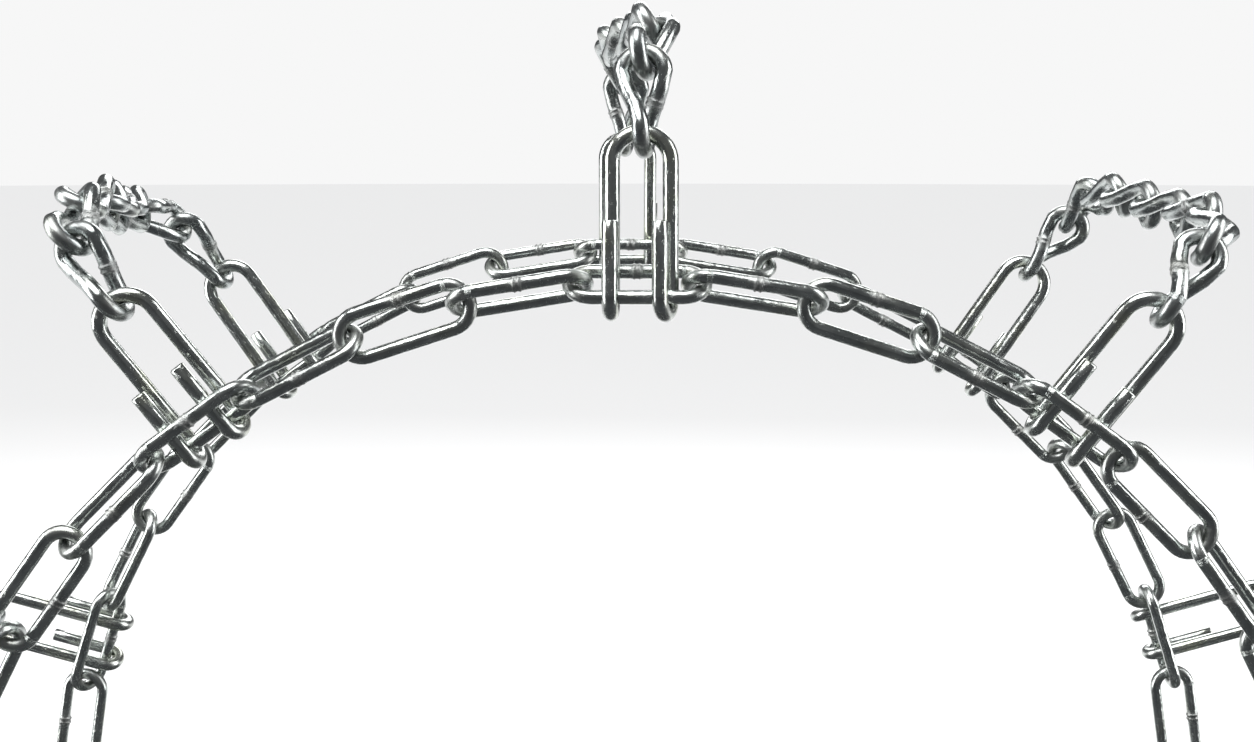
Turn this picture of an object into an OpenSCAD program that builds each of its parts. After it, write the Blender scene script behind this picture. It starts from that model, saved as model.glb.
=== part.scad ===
// Ladder snow chain for a 7.50-16 tire, in the shape it takes on the wheel.
// The origin is the wheel's centre. +Y runs along the axle towards the vehicle,
// +Z is up, and ring angles run clockwise from the top, seen from the kerb side.

/* [Side chains] */
// Wire diameter of a side chain link
side_wire = 5.8; // [5.4:0.1:6]
// Distance from one side chain link to the next
side_pitch = 47.5; // [47:0.1:49]
// Outer width of a side chain link
side_width = 24; // [23.6:0.1:25]
// Free play between two side chain links
side_play = 1.2; // [1:0.1:1.4]

/* [Cross chains] */
// Wire diameter of a twisted cross chain link
cross_wire = 7; // [6.6:0.1:7]
// Inner length of a twisted cross chain link
cross_inner = 34; // [33:0.5:35]
// Outer width of a twisted cross chain link
cross_width = 24; // [24:0.1:25]
// Free play between two cross chain links
cross_play = 0.6; // [0.5:0.1:0.8]

/* [End hooks] */
// Wire diameter of a cross chain end hook
hook_wire = 6.5; // [6:0.1:6.5]
// Outer width of an end hook
hook_width = 30; // [29:0.5:31]
// Height from the side link's bar up to the wire at the top of the hook
hook_reach = 66; // [64:0.5:68]
// Height of the two prongs in front of the bar
prong_height = 30; // [26:1:34]

/* [Closing hooks] */
// Thickness of the two closing hooks
closer_thickness = 6; // [5:0.5:6.5]
// Angle that a closing hook is swung out, before it is fastened
closer_open = 50; // [30:5:60]

/* [Hidden] */
$fn = 48;
BODY_COUNT = 20;
STATION_COUNT = 10;
function two_digits(n) = n < 10 ? str("0", n) : str(n);
function numbered(name, count) = [for (i = [1:count]) str(name, "_", two_digits(i))];

steel = [0.72, 0.75, 0.74];
dark_steel = [0.60, 0.63, 0.62];
hook_steel = [0.80, 0.82, 0.80];

// Ring of side links: 40 positions, 9 degrees apart, four to a station
link_step = 360 / (2 * BODY_COUNT);
station_step = 360 / STATION_COUNT;
ring_radius = side_pitch / 2 / tan(link_step / 2);
side_inner = side_pitch + side_play;
side_bend = (side_width - side_wire) / 2;
side_end = (side_inner + side_wire) / 2;

// Roll of every side link about its own length, one row for each station. At 0 a link
// stands edge-on and at 90 it lies flat. Above 0 the bar nearest the tire is the higher
// one, and below 0 it is the lower one. The first link of a row carries the end hook.
plain = [0, 90, 0, 90];
side_rolls = [
    [30, -30, 90, 30],
    [-30, 90, 30, 90],
    plain, plain, plain, plain, plain, plain,
    [30, -30, 90, 30],
    [-30, 30, 90, -30]
];

// End hook: the gap leaves room between the hook and the bar that it goes round
hook_gap = 0.15;
hook_bend = (hook_width - hook_wire) / 2;
hook_curl = (side_wire + hook_wire) / 2 + hook_gap;
hook_length = norm([hook_curl, hook_reach]);
hook_set = atan2(hook_curl, hook_reach);
// Lean of the first station's hooks towards the tire
hook_lean = 6;
// The hooks sit this far towards the middle of the link that carries them
hook_shift = 0.9;
// The two curls turn about their legs by 4.3 and 20.6 degrees
left_curl_turn = atan2(0.07584, 0.99712);
right_curl_turn = atan2(0.352, 0.936);

// Half of a cross chain: four links from the outer hook to the middle of the tread.
// tilt is measured from the radius towards the tread, swing is sideways, and roll
// turns a link about its own length.
link_tilt = [18, 67, 89, 90];
link_swing = [0, 10, 0, -10];
link_roll = [35, 30, 15, 0];
// Extra room where a link turns the corner of the tread
corner_play = [1.6, 0, 0, 0];
hook_play = 0.4;
half_count = len(link_tilt);
cross_bend = (cross_width - cross_wire) / 2;
cross_end = (cross_inner + cross_wire) / 2;
cross_straight = cross_inner + 2 * cross_wire - cross_width;
half_twist = 45;

// ---- Vectors of the cross chain's half, in the frame of one station ----
function about_x(v, a) = [v[0], v[1] * cos(a) - v[2] * sin(a), v[1] * sin(a) + v[2] * cos(a)];
function about_y(v, a) = [v[0] * cos(a) + v[2] * sin(a), v[1], v[2] * cos(a) - v[0] * sin(a)];
function curl_turn(side) = side < 0 ? left_curl_turn : right_curl_turn;
function half_turn(v) = [-v[0], -v[1], v[2]];
function in_link(v, i) = about_x(about_y(v, link_swing[i]), -link_tilt[i]);
function along(i) = i < half_count ? in_link([0, 0, 1], i) : -half_turn(along(i - 1));
function far_side(i) = in_link([cos(link_roll[i] - half_twist), sin(link_roll[i] - half_twist), 0], i);
function near_side(i) = i < half_count
    ? in_link([cos(link_roll[i] + half_twist), sin(link_roll[i] + half_twist), 0], i)
    : half_turn(far_side(i - 1));
// Step from the middle of one link to the middle of the next
function step_length(i) = cross_end - (cross_wire + cross_play + corner_play[i]) / 2;
function turned(i) = along(i) - along(i + 1);
function link_step_vector(i) =
    step_length(i) * (along(i) + along(i + 1))
    + cross_bend / 2 * ((turned(i) * near_side(i + 1)) * near_side(i + 1)
                        - (turned(i) * far_side(i)) * far_side(i));
function link_middle(i) = i == 0
    ? (cross_end - (cross_wire + hook_wire) / 2 - hook_play) * along(0)
    : link_middle(i - 1) + link_step_vector(i - 1);
half_span = (link_middle(half_count - 1) + link_middle(half_count)) / 2;

// ---- Where each station's outer hook stands. It goes round the carrier's lower bar ----
function carrier_roll(station) = side_rolls[station - 1][0];
function hooked_side(station) = carrier_roll(station) < 0 ? 1 : -1;
function bar_offset(station) = hooked_side(station) * side_bend
    * [0, cos(carrier_roll(station)), sin(carrier_roll(station))];
hook_top = [-half_span[0], -half_span[1], 0];
side_y = hook_length * sin(hook_lean + hook_set) - hook_top[1] + bar_offset(1)[1];
function hook_foot(station) = [hook_top[0] - hook_shift, -side_y, ring_radius] + bar_offset(station);
// Angle from the radius to the line between the foot and the top of the hook
function hook_angle(station) = asin((hook_top[1] - hook_foot(station)[1]) / hook_length);
function top_height(station) = hook_foot(station)[2] + hook_length * cos(hook_angle(station));

// ---- Round bars and bends ----
module bar(wire, length) {
    translate([0, 0, -length / 2]) cylinder(d = wire, h = length);
}

// Part of a ring in the XY plane, from angle start, counterclockwise
module bend(wire, radius, start, sweep) {
    rotate([0, 0, start])
        rotate_extrude(angle = sweep)
            translate([radius, 0]) circle(d = wire);
}

// ---- Side links: a welded oval lying along X in the XY plane ----
module side_link() {
    straight = side_inner + 2 * side_wire - side_width;
    for (side = [-1, 1]) {
        translate([0, side * side_bend, 0]) rotate([0, 90, 0]) bar(side_wire, straight);
        translate([side * straight / 2, 0, 0]) bend(side_wire, side_bend, side > 0 ? -90 : 90, 180);
    }
}

module on_ring(angle) {
    rotate([0, angle, 0]) children();
}

module placed_side_link(position, side) {
    on_ring(position * link_step)
        translate([0, side * side_y, ring_radius])
            rotate([-side * side_rolls[floor(position / 4)][position % 4], 0, 0])
                side_link();
}

// Four links that move together: two of the outer chain and two of the inner one.
// In body 10 the second pair's place is taken by the two closing hooks.
module side_links(body) {
    last = body == 10 ? 0 : 1;
    color(steel)
        for (side = [-1, 1], i = [0:last])
            placed_side_link(2 * (body - 1) + i, side);
}

// ---- Cross chain ----
// A twisted link along Z. Its far end is turned by -half_twist, its near end by +half_twist.
module twisted_link() {
    leg_top = [cross_bend * cos(half_twist), -cross_bend * sin(half_twist), cross_straight / 2];
    for (end = [-1, 1]) {
        rotate([0, 0, -end * half_twist])
            translate([0, 0, end * cross_straight / 2])
                rotate([90, 0, 0])
                    bend(cross_wire, cross_bend, end > 0 ? 0 : 180, 180);
        rotate([0, 0, end > 0 ? 0 : 180])
            twisted_leg(leg_top);
    }
}

// A straight leg between the two bends, with a ball at each end
module twisted_leg(top) {
    lean = atan2(top[1], top[2]);
    length = 2 * norm([0, top[1], top[2]]);
    translate([top[0], 0, 0]) {
        rotate([-lean, 0, 0]) bar(cross_wire, length);
        for (end = [-1, 1])
            translate([0, end * top[1], end * top[2]]) sphere(d = cross_wire);
    }
}

module half_cross_chain(station) {
    for (i = [0:half_count - 1])
        translate([hook_top[0], hook_top[1], top_height(station)] + link_middle(i))
            rotate([-link_tilt[i], 0, 0])
                rotate([0, link_swing[i], 0])
                    rotate([0, 0, link_roll[i]])
                        twisted_link();
}

module at_station(number) {
    on_ring((number - 1) * station_step) children();
}

module cross_chain(number) {
    color(dark_steel)
        at_station(number) {
            half_cross_chain(number);
            rotate([0, 0, 180]) half_cross_chain(number);
        }
}

// ---- End hook: a U of wire whose two legs curl round the side link's bar ----
// Its origin is the middle of the bar, and the legs go up behind it.
module end_hook() {
    leg = hook_reach - hook_bend;
    translate([0, hook_curl, leg])
        rotate([90, 0, 0])
            bend(hook_wire, hook_bend, 0, 180);
    for (side = [-1, 1])
        translate([side * hook_bend, hook_curl, 0]) {
            translate([0, 0, leg / 2]) bar(hook_wire, leg);
            rotate([0, 0, -curl_turn(side)]) curl_and_prong(hook_curl / cos(curl_turn(side)));
        }
}

// From the foot of a leg at the origin, round under the bar and up in front of it
module curl_and_prong(radius) {
    translate([0, -radius, 0]) {
        rotate([0, 90, 0]) bend(hook_wire, radius, -90, 180);
        translate([0, -radius, prong_height / 2]) bar(hook_wire, prong_height);
    }
}

module standing_hook(station) {
    translate(hook_foot(station))
        rotate([hook_set - hook_angle(station), 0, 0])
            end_hook();
}

module outer_hook(number) {
    color(hook_steel)
        at_station(number) standing_hook(number);
}

module inner_hook(number) {
    color(hook_steel)
        at_station(number)
            rotate([0, 0, 180]) standing_hook(number);
}

// ---- Closing hooks: each hangs on the last link of one end and hooks into the other ----
// The bore leaves room for the curve of the end wire that runs through it
closer_eye_bore = side_wire + 1.8;
closer_eye = 14;
// The end wires of link 18 and link 20, between which a closing hook spans
closer_pivot = about_y([side_end, 0, ring_radius], 18 * link_step);
closer_target = about_y([-side_end, 0, ring_radius], 20 * link_step);
closer_line = closer_target - closer_pivot;
closer_span = norm(closer_line);
closer_angle = atan2(-closer_line[2], closer_line[0]);
throat = 8.4;

// Flat outline with its eye at the origin and its throat at [closer_span, 0]
module closer_outline(tail) {
    difference() {
        offset(r = 0.5) offset(delta = -0.5) {
            circle(d = closer_eye);
            hull() {
                circle(d = 8);
                translate([closer_span - 11, 9]) circle(d = 8);
            }
            hull() {
                translate([closer_span - 11, 9]) circle(d = 8);
                translate([closer_span, 8.6]) circle(d = 6.6);
            }
            closer_claw();
            if (tail > 0)
                hull() {
                    translate([closer_span - 14, 10]) circle(d = 7);
                    translate([closer_span - 14 - tail, 10 + 0.45 * tail]) circle(d = 9);
                }
        }
        circle(d = closer_eye_bore);
    }
}

// The quarter ring over the throat, and the straight tip that goes on down from it
module closer_claw() {
    tip = 5;
    translate([closer_span, 0]) {
        difference() {
            circle(d = throat + 2 * closer_thickness);
            circle(d = throat);
            translate([-20, -20]) square([20, 28]);
            translate([-1, -20]) square([20, 20]);
        }
        translate([throat / 2, -tip]) square([closer_thickness, tip + 0.01]);
    }
}

module closing_hook(side, tail) {
    translate([closer_pivot[0], side * side_y, closer_pivot[2]])
        rotate([0, closer_angle, 0])
            rotate([0, -closer_open, 0])
                rotate([90, 0, 0])
                    translate([0, 0, -closer_thickness / 2])
                        linear_extrude(closer_thickness)
                            closer_outline(tail);
}

module outer_fastener() {
    color(hook_steel) closing_hook(-1, 26);
}

module inner_fastener() {
    color(hook_steel) closing_hook(1, 0);
}

// ---- Nodes ----
for (i = [1:BODY_COUNT])
    side_links(i);
for (i = [1:STATION_COUNT]) {
    cross_chain(i);
    outer_hook(i);
    inner_hook(i);
}
outer_fastener();
inner_fastener();
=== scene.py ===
"""The looks of a ladder snow chain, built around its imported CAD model.

Every wire piece is swept along the same path as in the CAD, with what a real link has on
top: the flash of its butt weld, cut prong ends, rubbed bends and zinc plating. Sizes are in
millimetres, as in the CAD, and the meshes are in metres. The origin is the wheel's centre,
+Y runs along the axle towards the vehicle, and ring angles run clockwise from the top.
"""

import math

import bmesh
import bpy
import numpy as np
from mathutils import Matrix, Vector


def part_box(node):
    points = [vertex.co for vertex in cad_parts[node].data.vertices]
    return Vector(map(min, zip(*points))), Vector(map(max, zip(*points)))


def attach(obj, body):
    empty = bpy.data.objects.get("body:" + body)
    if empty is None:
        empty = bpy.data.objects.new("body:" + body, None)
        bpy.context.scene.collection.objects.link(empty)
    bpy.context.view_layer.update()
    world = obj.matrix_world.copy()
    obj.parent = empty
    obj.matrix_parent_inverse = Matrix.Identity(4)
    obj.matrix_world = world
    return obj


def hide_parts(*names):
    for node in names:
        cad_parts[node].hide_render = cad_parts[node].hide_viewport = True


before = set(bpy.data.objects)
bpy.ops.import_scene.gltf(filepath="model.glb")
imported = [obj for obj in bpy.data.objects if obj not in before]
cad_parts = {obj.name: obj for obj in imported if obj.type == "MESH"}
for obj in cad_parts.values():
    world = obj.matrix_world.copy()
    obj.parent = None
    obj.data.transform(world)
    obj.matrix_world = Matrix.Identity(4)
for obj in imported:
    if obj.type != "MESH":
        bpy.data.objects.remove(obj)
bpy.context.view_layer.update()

METRES = 0.001

# ---- Sizes that the CAD is driven by ----
SIDE_WIRE = 5.8
SIDE_PITCH = 47.5
SIDE_WIDTH = 24.0
SIDE_PLAY = 1.2
CROSS_WIRE = 7.0
CROSS_INNER = 34.0
CROSS_WIDTH = 24.0
CROSS_PLAY = 0.6
HOOK_WIRE = 6.5
HOOK_WIDTH = 30.0
HOOK_REACH = 66.0
PRONG_HEIGHT = 30.0

SECTION_COUNT = 20
# This section has one link position, and the next section starts after the open gap
SHORT_SECTION = 10
STATION_COUNT = 10
LINK_STEP = 9.0
STATION_STEP = 36.0
LINKS_PER_STATION = 4
LINKS_PER_SECTION = 2

# Roll of each side link about its length, one row for each station: 0 is edge-on, 90 flat
PLAIN = (0, 90, 0, 90)
SIDE_ROLLS = (
    (30, -30, 90, 30),
    (-30, 90, 30, 90),
    PLAIN,
    PLAIN,
    PLAIN,
    PLAIN,
    PLAIN,
    PLAIN,
    (30, -30, 90, 30),
    (-30, 30, 90, -30),
)
# Positions whose weld is on the bar nearest the tire; the others have it on the outer bar
INNER_WELDS = (0, 2, 38, 9, 14, 17, 22, 27, 31)

HOOK_GAP = 0.15
HOOK_LEAN = 6.0
HOOK_SHIFT = 0.9
CURL_TURNS = {
    -1: math.degrees(math.atan2(0.07584, 0.99712)),
    1: math.degrees(math.atan2(0.352, 0.936)),
}

# Half of a cross chain, from the outer hook to the middle of the tread
LINK_TILT = (18, 67, 89, 90)
LINK_SWING = (0, 10, 0, -10)
LINK_ROLL = (35, 30, 15, 0)
CORNER_PLAY = (1.6, 0, 0, 0)
HOOK_PLAY = 0.4
HALF_TWIST = 45.0
HALF_COUNT = len(LINK_TILT)

# ---- Sizes that only the looks have ----
WIRE_SIDES = 24
BEND_RINGS = 15
# The weld's flash: a ridge to each side of the joint and a lower one on it
WELD_HEIGHT = 0.5
WELD_RIDGE = 1.15
WELD_RIDGE_WIDTH = 0.55
WELD_MIDDLE = 0.35
WELD_MIDDLE_WIDTH = 0.7
WELD_HEAT_REACH = 3.2
# Distances of the rings from the joint
WELD_RINGS = (0.25, 0.6, 0.9, 1.15, 1.4, 1.8, 2.6, 5.0)
CUT_BEVEL = 0.5
PLATE_BEVEL = 0.9
# Bends rub on the neighbouring link, from this far past the end of the straight legs
RUB_MARGIN = 3.0
# Face angles in degrees: crisp edges on wire and plate, and the plate edges to round over
WIRE_CREASE = 50
PLATE_CREASE = 40
PLATE_RIM = 60

rng = np.random.default_rng(7)

# ---- Values that follow from the sizes ----
ring_radius = SIDE_PITCH / 2 / math.tan(math.radians(LINK_STEP / 2))
side_bend = (SIDE_WIDTH - SIDE_WIRE) / 2
side_straight = SIDE_PITCH + SIDE_PLAY + 2 * SIDE_WIRE - SIDE_WIDTH
cross_bend = (CROSS_WIDTH - CROSS_WIRE) / 2
cross_end = (CROSS_INNER + CROSS_WIRE) / 2
cross_straight = CROSS_INNER + 2 * CROSS_WIRE - CROSS_WIDTH
hook_bend = (HOOK_WIDTH - HOOK_WIRE) / 2
hook_curl = (SIDE_WIRE + HOOK_WIRE) / 2 + HOOK_GAP
hook_length = math.hypot(hook_curl, HOOK_REACH)
hook_set = math.degrees(math.atan2(hook_curl, HOOK_REACH))


# ---- Turns, as 3x3 matrices that act on row vectors ----
def turn(axis, degrees):
    a = math.radians(degrees)
    c, s = math.cos(a), math.sin(a)
    i, j = [(1, 2), (2, 0), (0, 1)]["xyz".index(axis)]
    m = np.eye(3)
    m[i, i], m[i, j], m[j, i], m[j, j] = c, s, -s, c
    return m


HALF_TURN = turn("z", 180)


# ---- Paths: rows of a point and the direction there ----
def arc(radius, start, end, rings=BEND_RINGS):
    """Part of a circle in the XY plane, from one angle to another."""
    a = np.radians(np.linspace(start, end, rings))
    sign = math.copysign(1, end - start)
    zero = np.zeros(rings)
    points = np.c_[radius * np.cos(a), radius * np.sin(a), zero]
    along = sign * np.c_[-np.sin(a), np.cos(a), zero]
    return np.hstack([points, along])


def line(start, end, stops):
    """A straight path with a ring at each of stops, from 0 at start to 1 at end."""
    start, end = np.array(start, float), np.array(end, float)
    way = (end - start) / np.linalg.norm(end - start)
    return np.array([np.r_[start + (end - start) * t, way] for t in stops])


def moved(path, matrix=None, offset=(0, 0, 0)):
    """A path turned by matrix and then moved by offset."""
    matrix = np.eye(3) if matrix is None else matrix
    return np.hstack([path[:, :3] @ matrix + np.array(offset), path[:, 3:] @ matrix])


def joined(*paths):
    """Paths one after another, with the point that two of them share kept once."""
    rows = [paths[0]]
    for path in paths[1:]:
        shared = np.linalg.norm(path[0, :3] - rows[-1][-1, :3]) < 1e-6
        rows.append(path[1:] if shared else path)
    return np.vstack(rows)


def around_weld(length):
    """Stops along a leg with a weld in its middle, close together at the weld."""
    near = [d / length for d in WELD_RINGS]
    return [0, *(0.5 - d for d in reversed(near)), 0.5, *(0.5 + d for d in near), 1]


# ---- Wire: a closed tube or a capped rod along a path ----
class Wire:
    """Vertices, faces and surface values of swept wires, gathered into one mesh."""

    def __init__(self):
        self.points, self.faces, self.wire, self.zone = [], [], [], []
        self.count = 0

    def add(self, path, diameter, closed, weld_at=None, rubbed=None, place=None):
        """Sweeps a round wire. weld_at is the point of its weld, rubbed a value for each
        ring from 0 to 1, and place a function that moves rows of points into the model."""
        centre, along = path[:, :3], path[:, 3:]
        side = carried_frame(centre, along, closed)
        rise = np.cross(along, side)
        gaps = np.linalg.norm(np.diff(centre, axis=0), axis=1)
        length = np.r_[0, np.cumsum(gaps)]
        angle = np.linspace(0, 2 * math.pi, WIRE_SIDES, endpoint=False)
        radius = np.full((len(path), WIRE_SIDES), diameter / 2)
        weld = np.zeros(len(path))
        if weld_at is not None:
            away = np.linalg.norm(centre - np.array(weld_at), axis=1)
            lean = rng.uniform(0, 2 * math.pi)
            ridge = np.exp(-(((away - WELD_RIDGE) / WELD_RIDGE_WIDTH) ** 2))
            ridge += WELD_MIDDLE * np.exp(-((away / WELD_MIDDLE_WIDTH) ** 2))
            uneven = 0.75 + 0.4 * np.cos(angle - lean) + 0.2 * np.cos(3 * angle + lean)
            radius += WELD_HEIGHT * ridge[:, None] * uneven[None, :]
            weld = np.exp(-((away / WELD_HEAT_REACH) ** 2))
        around = np.cos(angle)[None, :, None] * side[:, None, :]
        around = around + np.sin(angle)[None, :, None] * rise[:, None, :]
        rings = centre[:, None, :] + radius[:, :, None] * around
        if not closed:
            rings, length, weld = self.with_cut_ends(rings, centre, along, length, weld)
            if rubbed is not None:
                rubbed = np.r_[rubbed[0], rubbed, rubbed[-1]]
        count = len(rings)
        start = self.count
        flat = rings.reshape(-1, 3)
        self.points.append(place(flat) if place else flat)
        shift = rng.uniform(0, 400)
        tone = rng.uniform(0, 1)
        self.wire.append(
            np.c_[
                np.tile(np.cos(angle), count) * diameter / 2,
                np.tile(np.sin(angle), count) * diameter / 2,
                np.repeat(length + shift, WIRE_SIDES),
            ]
        )
        rubbed = np.zeros(count) if rubbed is None else rubbed
        self.zone.append(
            np.c_[
                np.repeat(weld, WIRE_SIDES),
                np.repeat(rubbed, WIRE_SIDES),
                np.full(count * WIRE_SIDES, tone),
            ]
        )
        index = start + np.arange(count * WIRE_SIDES).reshape(count, WIRE_SIDES)
        following = np.roll(index, -1, axis=0) if closed else index[1:]
        current = index if closed else index[:-1]
        quads = np.stack(
            [
                current,
                np.roll(current, -1, axis=1),
                np.roll(following, -1, axis=1),
                following,
            ],
            axis=-1,
        )
        self.faces += quads.reshape(-1, 4).tolist()
        if not closed:
            self.faces += [index[0][::-1].tolist(), index[-1].tolist()]
        self.count += count * WIRE_SIDES

    @staticmethod
    def with_cut_ends(rings, centre, along, length, weld):
        """Draws the first and last ring in a little, and adds the bevel's outer ring."""
        first, last = rings[0].copy(), rings[-1].copy()
        radius = np.linalg.norm(first[0] - centre[0])
        inner = 1 - CUT_BEVEL / radius
        cap_first = centre[0] + (first - centre[0]) * inner
        cap_last = centre[-1] + (last - centre[-1]) * inner
        first += along[0] * CUT_BEVEL
        last -= along[-1] * CUT_BEVEL
        rings = np.concatenate([[cap_first], [first], rings[1:-1], [last], [cap_last]])
        return rings, np.r_[length[0], length, length[-1]], np.r_[0, weld, 0]

    def build(self, name):
        """Makes the mesh object, in metres, with smooth faces and its surface values."""
        mesh = bpy.data.meshes.new(name)
        mesh.from_pydata((np.vstack(self.points) * METRES).tolist(), [], self.faces)
        for label, rows, scale in (
            ("wire", self.wire, METRES),
            ("zone", self.zone, 1.0),
        ):
            attribute = mesh.attributes.new(label, "FLOAT_VECTOR", "POINT")
            values = (np.vstack(rows) * scale).astype(np.float32)
            attribute.data.foreach_set("vector", values.ravel())
        mesh.shade_smooth()
        obj = bpy.data.objects.new(name, mesh)
        bpy.context.scene.collection.objects.link(obj)
        mark_sharp(mesh, WIRE_CREASE)
        return obj


def carried_frame(centre, along, closed):
    """A direction across the wire at each ring, carried along without needless twist."""
    helper = np.array([0, 0, 1.0]) if abs(along[0, 2]) < 0.9 else np.array([1.0, 0, 0])
    side = [np.cross(along[0], helper)]
    side[0] /= np.linalg.norm(side[0])
    for way in along[1:]:
        s = side[-1] - way * (side[-1] @ way)
        side.append(s / np.linalg.norm(s))
    side = np.array(side)
    if closed:
        s = side[-1] - along[0] * (side[-1] @ along[0])
        s /= np.linalg.norm(s)
        error = math.atan2(np.cross(s, side[0]) @ along[0], s @ side[0])
        share = np.linspace(0, error, len(side), endpoint=False)[:, None]
        side = side * np.cos(share) + np.cross(along, side) * np.sin(share)
    return side


def mark_sharp(mesh, degrees):
    """Keeps an edge crisp where its two faces turn by more than that angle."""
    bm = bmesh.new()
    bm.from_mesh(mesh)
    limit = math.radians(degrees)
    for edge in bm.edges:
        edge.smooth = not (edge.is_manifold and edge.calc_face_angle(0) > limit)
    bm.to_mesh(mesh)
    bm.free()


# ---- The three kinds of wire piece, each on its own origin ----
def side_link_path(weld_side):
    """A welded oval along X in the XY plane. It starts and ends beside its weld."""
    half = side_straight / 2
    straight = around_weld(side_straight)
    plain = (0, 0.2, 0.8, 1)
    lower = line([-half, -side_bend, 0], [half, -side_bend, 0], straight)
    upper = line([half, side_bend, 0], [-half, side_bend, 0], plain)
    right = moved(arc(side_bend, -90, 90), offset=[half, 0, 0])
    left = moved(arc(side_bend, 90, 270), offset=[-half, 0, 0])
    path = joined(lower, right, upper, left)[:-1]
    return path if weld_side < 0 else moved(path, turn("z", 180))


def twisted_link_path(weld_leg):
    """A twisted oval along Z, with its far end turned one way and its near end the other.
    Each leg leaves the bends straight on and turns over smoothly in between."""
    c, s = math.cos(math.radians(HALF_TWIST)), math.sin(math.radians(HALF_TWIST))
    top = np.array([cross_bend * c, -cross_bend * s, cross_straight / 2])
    foot = top * [1, -1, -1]
    pull = np.array([0, 0, 0.75 * cross_straight])
    rows = []
    for t in around_weld(2 * np.linalg.norm(top[1:])):
        h = (2 * t**3 - 3 * t**2 + 1, t**3 - 2 * t**2 + t, 3 * t**2 - 2 * t**3, t**3 - t**2)
        d = (6 * t**2 - 6 * t, 3 * t**2 - 4 * t + 1, 6 * t - 6 * t**2, 3 * t**2 - 2 * t)
        point = h[0] * foot + h[1] * pull + h[2] * top + h[3] * pull
        way = d[0] * foot + d[1] * pull + d[2] * top + d[3] * pull
        rows.append(np.r_[point, way / np.linalg.norm(way)])
    leg = np.array(rows)
    upright = turn("x", 90)
    up = [0, 0, cross_straight / 2]
    down = [0, 0, -cross_straight / 2]
    far = moved(moved(arc(cross_bend, 0, 180), upright, up), turn("z", -HALF_TWIST))
    near = moved(moved(arc(cross_bend, 180, 360), upright, down), turn("z", HALF_TWIST))
    back = moved(leg, HALF_TURN)[::-1] * [1, 1, 1, -1, -1, -1]
    path = joined(leg, far, back, near)[:-1]
    return (path if weld_leg > 0 else moved(path, HALF_TURN)), leg


def end_hook_path():
    """A U of wire whose legs curl round the side link's bar and end in two prongs.
    Its origin is the middle of the bar."""
    leg = HOOK_REACH - hook_bend
    halves = []
    for side, curl_turn in CURL_TURNS.items():
        radius = hook_curl / math.cos(math.radians(curl_turn))
        foot = [side * hook_bend, hook_curl, 0]
        prong = line([0, -2 * radius, PRONG_HEIGHT], [0, -2 * radius, 0], (0, 0.3, 0.7, 1))
        curl = moved(arc(radius, -90, 90), turn("y", 90), [0, -radius, 0])
        curled = moved(joined(prong, curl), turn("z", -curl_turn), foot)
        straight = line(foot, [foot[0], foot[1], leg], (0, 0.25, 0.75, 1))
        halves.append(joined(curled, straight))
    top = moved(arc(hook_bend, 180, 0, 21), turn("x", 90), [0, hook_curl, leg])
    back = halves[1][::-1] * [1, 1, 1, -1, -1, -1]
    return joined(halves[0], top, back)


# ---- Where everything stands, by the CAD's own rules ----
def about_ring(degrees):
    return turn("y", degrees)


def in_link(v, i):
    return np.array(v, float) @ turn("y", LINK_SWING[i]) @ turn("x", -LINK_TILT[i])


def half_turned(v):
    return v @ HALF_TURN


def along_link(i):
    return in_link([0, 0, 1], i) if i < HALF_COUNT else -half_turned(along_link(i - 1))


def end_plane(i, twist):
    a = math.radians(LINK_ROLL[i] + twist)
    return in_link([math.cos(a), math.sin(a), 0], i)


def far_side(i):
    return end_plane(i, -HALF_TWIST)


def near_side(i):
    return end_plane(i, HALF_TWIST) if i < HALF_COUNT else half_turned(far_side(i - 1))


def link_step_vector(i):
    step = cross_end - (CROSS_WIRE + CROSS_PLAY + CORNER_PLAY[i]) / 2
    turned = along_link(i) - along_link(i + 1)
    near, far = near_side(i + 1), far_side(i)
    bend = (turned @ near) * near - (turned @ far) * far
    return step * (along_link(i) + along_link(i + 1)) + cross_bend / 2 * bend


link_middles = [(cross_end - (CROSS_WIRE + HOOK_WIRE) / 2 - HOOK_PLAY) * along_link(0)]
for number in range(HALF_COUNT):
    link_middles.append(link_middles[-1] + link_step_vector(number))
half_span = (link_middles[HALF_COUNT - 1] + link_middles[HALF_COUNT]) / 2
hook_top = np.array([-half_span[0], -half_span[1], 0])


def bar_offset(station):
    """From the middle of a station's carrier link to the bar that its hook goes round."""
    roll = SIDE_ROLLS[station - 1][0]
    hooked_side = 1 if roll < 0 else -1
    a = math.radians(roll)
    return hooked_side * side_bend * np.array([0, math.cos(a), math.sin(a)])


side_y = (
    hook_length * math.sin(math.radians(HOOK_LEAN + hook_set))
    - hook_top[1]
    + bar_offset(1)[1]
)


def hook_stand(station):
    """The foot of a station's outer hook, its angle from the radius, and its height."""
    foot = np.array([hook_top[0] - HOOK_SHIFT, -side_y, ring_radius]) + bar_offset(station)
    angle = math.asin((hook_top[1] - foot[1]) / hook_length)
    return foot, math.degrees(angle), foot[2] + hook_length * math.cos(angle)


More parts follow.
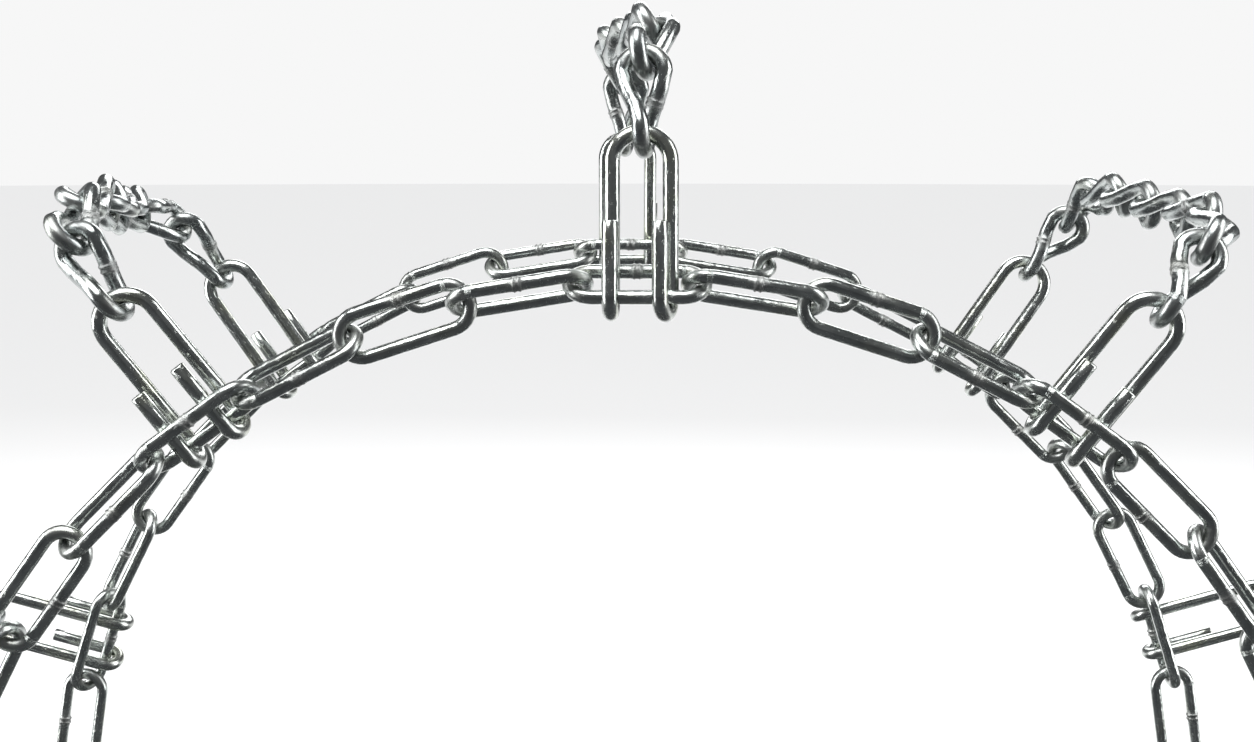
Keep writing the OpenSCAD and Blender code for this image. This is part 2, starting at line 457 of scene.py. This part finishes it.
# ---- Materials ----
class Nodes:
    """A short way to make and join the nodes of one material."""

    def __init__(self, name):
        self.material = bpy.data.materials.new(name)
        self.material.use_nodes = True
        self.tree = self.material.node_tree
        self.shader = self.tree.nodes["Principled BSDF"]

    def add(self, kind, inputs=None, **settings):
        node = self.tree.nodes.new(kind)
        for key, value in settings.items():
            setattr(node, key, value)
        for key, value in (inputs or {}).items():
            if isinstance(value, bpy.types.NodeSocket):
                self.tree.links.new(value, node.inputs[key])
            else:
                node.inputs[key].default_value = value
        return node

    def attribute(self, name):
        return self.add("ShaderNodeAttribute", attribute_name=name).outputs["Vector"]

    def scaled(self, vector, scale):
        node = self.add("ShaderNodeVectorMath", {0: vector, 1: scale}, operation="MULTIPLY")
        return node.outputs["Vector"]

    def noise(self, vector, detail=4.0, roughness=0.55):
        inputs = {"Vector": vector, "Scale": 1.0, "Detail": detail, "Roughness": roughness}
        return self.add("ShaderNodeTexNoise", inputs).outputs["Fac"]

    def spread(self, value, low, high, to_low=0.0, to_high=1.0):
        inputs = {
            "Value": value,
            "From Min": low,
            "From Max": high,
            "To Min": to_low,
            "To Max": to_high,
        }
        return self.add("ShaderNodeMapRange", inputs).outputs["Result"]

    def math(self, operation, a, b):
        node = self.add("ShaderNodeMath", {0: a, 1: b}, operation=operation)
        return node.outputs["Value"]

    def mix(self, share, a, b):
        node = self.add("ShaderNodeMix", data_type="RGBA")
        for key, value in ((0, share), (6, a), (7, b)):
            if isinstance(value, bpy.types.NodeSocket):
                self.tree.links.new(value, node.inputs[key])
            else:
                node.inputs[key].default_value = value
        return node.outputs[2]


BURNT = (0.27, 0.265, 0.26, 1)
SOIL = (0.2, 0.195, 0.185, 1)


def zinc_plate(name, bright, shade, tint, tinted, smooth, rough, dented):
    """Zinc-plated steel wire. bright and shade are the plating's two greys, tint the
    passivation's colour and tinted its share, smooth and rough bound the roughness, and
    dented is how far small dents disturb its reflections."""
    n = Nodes(name)
    wire, zone = n.attribute("wire"), n.attribute("zone")
    parts = n.add("ShaderNodeSeparateXYZ", {"Vector": zone}).outputs
    weld, rub, tone = parts["X"], parts["Y"], parts["Z"]
    drawn = n.noise(n.scaled(wire, (2600, 2600, 70)), 3.0)
    clouds = n.noise(n.scaled(wire, (260, 260, 130)), 4.0)
    patches = n.noise(n.scaled(wire, (90, 90, 45)), 2.0)
    grit = n.noise(n.scaled(wire, (1900, 1900, 1500)), 5.0, 0.7)
    scuffs = n.spread(n.noise(n.scaled(wire, (700, 700, 330)), 6.0, 0.7), 0.6, 0.68)

    color = n.mix(n.spread(clouds, 0.35, 0.68), shade, bright)
    color = n.mix(n.spread(patches, 0.5, 0.75, 0.0, tinted), color, tint)
    dull = tuple(c * 0.55 for c in shade[:3]) + (1,)
    color = n.mix(n.spread(tone, 0.0, 1.0, 0.22, 0.0), color, dull)
    heat = n.math("MULTIPLY", weld, n.spread(grit, 0.35, 0.65, 0.25, 0.9))
    color = n.mix(heat, color, BURNT)
    soil = n.math("MULTIPLY", rub, n.spread(clouds, 0.4, 0.62, 0.0, 0.45))
    color = n.mix(soil, color, SOIL)
    n.tree.links.new(color, n.shader.inputs["Base Color"])

    roughness = n.spread(clouds, 0.3, 0.7, smooth, rough)
    roughness = n.math("ADD", roughness, n.math("MULTIPLY", scuffs, 0.14))
    roughness = n.math("ADD", roughness, n.math("MULTIPLY", weld, 0.22))
    roughness = n.math("ADD", roughness, n.math("MULTIPLY", rub, 0.10))
    n.tree.links.new(roughness, n.shader.inputs["Roughness"])

    dents = n.noise(n.scaled(wire, (330, 330, 190)), 1.5)
    height = n.math("ADD", n.math("MULTIPLY", drawn, 0.4), n.math("MULTIPLY", dents, dented))
    height = n.math("ADD", height, n.math("MULTIPLY", scuffs, -0.5))
    pits = n.math("MULTIPLY", grit, n.spread(weld, 0.0, 1.0, 0.2, 3.0))
    height = n.math("ADD", height, pits)
    bump = {"Strength": 0.5, "Distance": 0.00016, "Height": height}
    normal = n.add("ShaderNodeBump", bump).outputs["Normal"]
    n.tree.links.new(normal, n.shader.inputs["Normal"])
    n.shader.inputs["Metallic"].default_value = 1.0
    return n.material


MATERIALS = {
    "side_chain_zinc": zinc_plate(
        "side_chain_plating",
        bright=(0.66, 0.69, 0.67, 1),
        shade=(0.46, 0.49, 0.48, 1),
        tint=(0.62, 0.63, 0.52, 1),
        tinted=0.5,
        smooth=0.12,
        rough=0.27,
        dented=3.4,
    ),
    "cross_chain_zinc": zinc_plate(
        "cross_chain_plating",
        bright=(0.60, 0.63, 0.62, 1),
        shade=(0.40, 0.43, 0.43, 1),
        tint=(0.56, 0.58, 0.49, 1),
        tinted=0.4,
        smooth=0.14,
        rough=0.30,
        dented=3.0,
    ),
    "hook_zinc": zinc_plate(
        "hook_plating",
        bright=(0.72, 0.75, 0.73, 1),
        shade=(0.52, 0.55, 0.53, 1),
        tint=(0.68, 0.69, 0.52, 1),
        tinted=0.7,
        smooth=0.10,
        rough=0.23,
        dented=2.0,
    ),
}


def finished(obj, node, body, slot):
    """Gives a piece its material and ties it to the CAD node and body that it stands for."""
    obj.data.materials.clear()
    obj.data.materials.append(MATERIALS[slot])
    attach(obj, body)
    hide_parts(node)


# ---- Pieces ----
def rubbed_at(path, test):
    """1 at the rings whose centre passes the test, and 0 elsewhere."""
    return np.array([1.0 if test(p) else 0.0 for p in path[:, :3]])


def stood(matrix, offset, ring):
    """A function that turns points, moves them, and carries them round the ring."""
    return lambda points: (points @ matrix + offset) @ ring


def make_side_links(section):
    wire = Wire()
    first = LINKS_PER_SECTION * (section - 1)
    count = 1 if section == SHORT_SECTION else LINKS_PER_SECTION
    for side in (-1, 1):
        for position in range(first, first + count):
            roll = SIDE_ROLLS[position // LINKS_PER_STATION][position % LINKS_PER_STATION]
            # On the outer chain the bar nearest the tire is the one at +Y
            weld_side = -side if position in INNER_WELDS else side
            path = side_link_path(weld_side)
            rubbed = rubbed_at(path, lambda p: abs(p[0]) > side_straight / 2 + RUB_MARGIN)
            m = turn("x", -side * roll)
            offset = np.array([0, side * side_y, ring_radius])
            ring = about_ring(position * LINK_STEP)
            wire.add(
                path,
                SIDE_WIRE,
                closed=True,
                weld_at=[0, weld_side * side_bend, 0],
                rubbed=rubbed,
                place=stood(m, offset, ring),
            )
    node = f"side_links_{section:02d}"
    finished(wire.build(node + "_detail"), node, f"section_{section:02d}", "side_chain_zinc")


def make_cross_chain(station):
    wire = Wire()
    height = hook_stand(station)[2]
    ring = about_ring((station - 1) * STATION_STEP)
    for end in (1, -1):
        for i in range(HALF_COUNT):
            weld_leg = 1 if rng.uniform() < 0.5 else -1
            path, leg = twisted_link_path(weld_leg)
            rubbed = rubbed_at(path, lambda p: abs(p[2]) > cross_straight / 2 + RUB_MARGIN)
            m = turn("z", LINK_ROLL[i]) @ turn("y", LINK_SWING[i]) @ turn("x", -LINK_TILT[i])
            offset = np.array([hook_top[0], hook_top[1], height]) + link_middles[i]
            flip = np.eye(3) if end > 0 else HALF_TURN
            wire.add(
                path,
                CROSS_WIRE,
                closed=True,
                weld_at=[weld_leg * leg[len(leg) // 2, 0], 0, 0],
                rubbed=rubbed,
                place=stood(m, offset, flip @ ring),
            )
    node = f"cross_chain_{station:02d}"
    body = f"section_{2 * station - 1:02d}"
    finished(wire.build(node + "_detail"), node, body, "cross_chain_zinc")


def make_end_hook(station, label, flip):
    wire = Wire()
    foot, angle, _ = hook_stand(station)
    m = turn("x", hook_set - angle)
    turned = flip @ about_ring((station - 1) * STATION_STEP)
    path = end_hook_path()
    wire.add(
        path,
        HOOK_WIRE,
        closed=False,
        rubbed=rubbed_at(path, lambda p: p[2] < 0 or p[2] > HOOK_REACH - RUB_MARGIN),
        place=stood(m, foot, turned),
    )
    node = f"{label}_{station:02d}"
    finished(wire.build(node + "_detail"), node, f"section_{2 * station - 1:02d}", "hook_zinc")


def make_closing_hook(node):
    """A closing hook with the CAD's outline and every edge rounded over."""
    bm = bmesh.new()
    bm.from_mesh(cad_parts[node].data)
    bmesh.ops.remove_doubles(bm, verts=bm.verts[:], dist=2e-6)
    bmesh.ops.dissolve_limit(
        bm, angle_limit=math.radians(1), verts=bm.verts[:], edges=bm.edges[:]
    )
    rims = [e for e in bm.edges if e.calc_face_angle(0) > math.radians(PLATE_RIM)]
    bmesh.ops.bevel(
        bm,
        geom=rims,
        offset=PLATE_BEVEL * METRES,
        segments=4,
        profile=0.5,
        affect="EDGES",
        clamp_overlap=True,
    )
    mesh = bpy.data.meshes.new(node + "_detail")
    bm.to_mesh(mesh)
    bm.free()
    points = np.array([v.co for v in mesh.vertices])
    wire = mesh.attributes.new("wire", "FLOAT_VECTOR", "POINT")
    wire.data.foreach_set("vector", points.astype(np.float32).ravel())
    zone = mesh.attributes.new("zone", "FLOAT_VECTOR", "POINT")
    zone.data.foreach_set("vector", np.tile([0.0, 0.0, 0.8], len(points)))
    mesh.shade_smooth()
    mark_sharp(mesh, PLATE_CREASE)
    obj = bpy.data.objects.new(node + "_detail", mesh)
    bpy.context.scene.collection.objects.link(obj)
    finished(obj, node, node, "hook_zinc")


for number in range(1, SECTION_COUNT + 1):
    make_side_links(number)
for number in range(1, STATION_COUNT + 1):
    make_cross_chain(number)
    make_end_hook(number, "outer_hook", np.eye(3))
    make_end_hook(number, "inner_hook", HALF_TURN)
make_closing_hook("outer_fastener")
make_closing_hook("inner_fastener")

# ---- Floor, light and camera ----
FLOOR_RADIUS = 40.0
floor_height = min(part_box(f"cross_chain_{n:02d}")[0].z for n in range(1, STATION_COUNT + 1))

floor_mesh = bpy.data.meshes.new("floor")
bm = bmesh.new()
bmesh.ops.create_circle(bm, cap_ends=True, segments=96, radius=FLOOR_RADIUS)
bm.to_mesh(floor_mesh)
bm.free()
floor = bpy.data.objects.new("floor", floor_mesh)
floor.location.z = floor_height
bpy.context.scene.collection.objects.link(floor)
# Like the room, the floor is pale to the eye. In the plating's reflections it is dim, and
# bright only well behind the chain, which draws a thin line of light along each lower edge
PALE = (0.86, 0.86, 0.86, 1)
paint = Nodes("pale_floor")
spot = paint.add("ShaderNodeNewGeometry").outputs["Position"]
depth = paint.add("ShaderNodeSeparateXYZ", {"Vector": spot}).outputs["Y"]
dim = paint.mix(paint.spread(depth, 0.45, 0.9), (0.05, 0.052, 0.055, 1), PALE)
mirrored = paint.add("ShaderNodeLightPath").outputs["Is Glossy Ray"]
floor_color = paint.mix(mirrored, PALE, dim)
paint.tree.links.new(floor_color, paint.shader.inputs["Base Color"])
paint.shader.inputs["Roughness"].default_value = 0.9
paint.shader.inputs["Specular IOR Level"].default_value = 0.1
floor_mesh.materials.append(paint.material)


def softbox(name, place, target, size, power):
    light = bpy.data.lights.new(name, "AREA")
    light.shape = "RECTANGLE"
    light.size, light.size_y = size
    light.energy = power
    obj = bpy.data.objects.new(name, light)
    obj.location = place
    aim = Vector(target) - Vector(place)
    obj.rotation_euler = aim.to_track_quat("-Z", "Y").to_euler()
    bpy.context.scene.collection.objects.link(obj)


softbox("left_box", (-2.3, -0.3, 0.7), (0, 0, 0.2), (1.1, 2.6), 55)
softbox("right_box", (2.3, -0.2, 0.8), (0, 0, 0.2), (1.1, 2.6), 42)
softbox("back_box", (0.3, 2.8, 1.9), (0, 0, 0.2), (2.6, 1.2), 45)

overhead = bpy.data.lights.new("overhead", "SUN")
overhead.energy = 3.0
overhead.angle = math.radians(50)
overhead_object = bpy.data.objects.new("overhead", overhead)
overhead_object.rotation_euler = (math.radians(18), math.radians(-12), 0)
bpy.context.scene.collection.objects.link(overhead_object)

# The room is dim in the plating's reflections, and pale where the camera sees it directly
world = bpy.data.worlds.new("studio")
world.use_nodes = True
tree = world.node_tree
room = tree.nodes["Background"]
room.inputs["Color"].default_value = (0.95, 0.97, 1.0, 1)
room.inputs["Strength"].default_value = 0.12
backdrop = tree.nodes.new("ShaderNodeBackground")
backdrop.inputs["Color"].default_value = (1, 1, 1, 1)
backdrop.inputs["Strength"].default_value = 0.93
ray = tree.nodes.new("ShaderNodeLightPath")
either = tree.nodes.new("ShaderNodeMixShader")
tree.links.new(ray.outputs["Is Camera Ray"], either.inputs[0])
tree.links.new(room.outputs[0], either.inputs[1])
tree.links.new(backdrop.outputs[0], either.inputs[2])
tree.links.new(either.outputs[0], tree.nodes["World Output"].inputs["Surface"])
bpy.context.scene.world = world

bpy.context.scene.view_settings.view_transform = "Standard"

CAMERA_PLACE = (-0.011, -0.80, 0.355)
CAMERA_PITCH = 7.28
CAMERA_YAW = 0.573
CAMERA_LENS = 49.6
SENSOR_WIDTH = 36.0
camera = bpy.data.cameras.new("camera")
camera.sensor_width = SENSOR_WIDTH
camera.lens = CAMERA_LENS
camera.clip_end = 100.0
camera_object = bpy.data.objects.new("camera", camera)
camera_object.location = CAMERA_PLACE
camera_object.rotation_euler = (
    math.radians(90 - CAMERA_PITCH),
    0,
    math.radians(-CAMERA_YAW),
)
bpy.context.scene.collection.objects.link(camera_object)
bpy.context.scene.camera = camera_object
